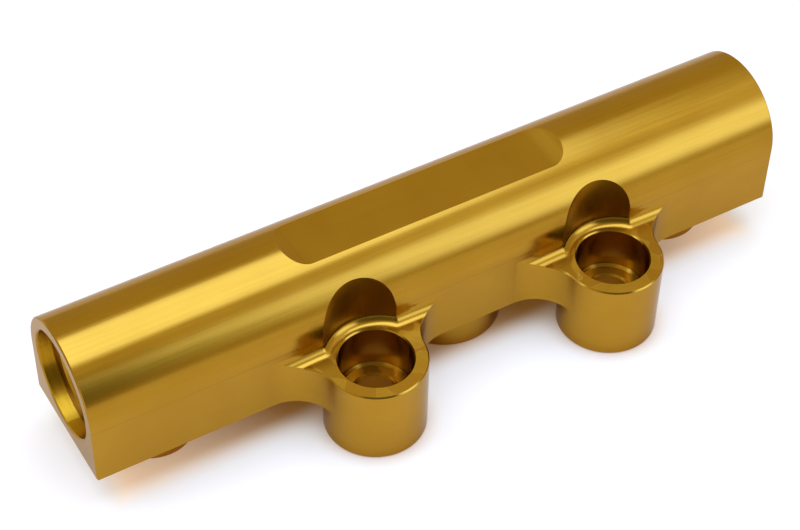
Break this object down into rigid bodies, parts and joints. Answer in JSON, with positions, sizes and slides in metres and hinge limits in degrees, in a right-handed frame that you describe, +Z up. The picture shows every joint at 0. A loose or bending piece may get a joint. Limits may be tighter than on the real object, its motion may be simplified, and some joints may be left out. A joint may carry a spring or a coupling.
{
  "type": "fuel rail",
  "caption": "Machined fuel rail: a D-section bar with a through fuel bore, threaded ports, injector cups underneath and counterbored mounting bosses on flared webs.",
  "frame": {"origin": "on the plane of the boss faces, under the middle of the rail's length and of its width over the mounting bosses", "axes": "+X along the rail and the fuel bore, +Z up, away from the engine; the mounting bosses stand out towards -Y"},
  "size_m": [0.145, 0.0408, 0.033],
  "materials": {
    "gold_anodised_aluminium": "satin gold anodising over machined aluminium"
  },
  "bodies": {
    "root": {"fuel_rail": "gold_anodised_aluminium"}
  },
  "joints": []
}
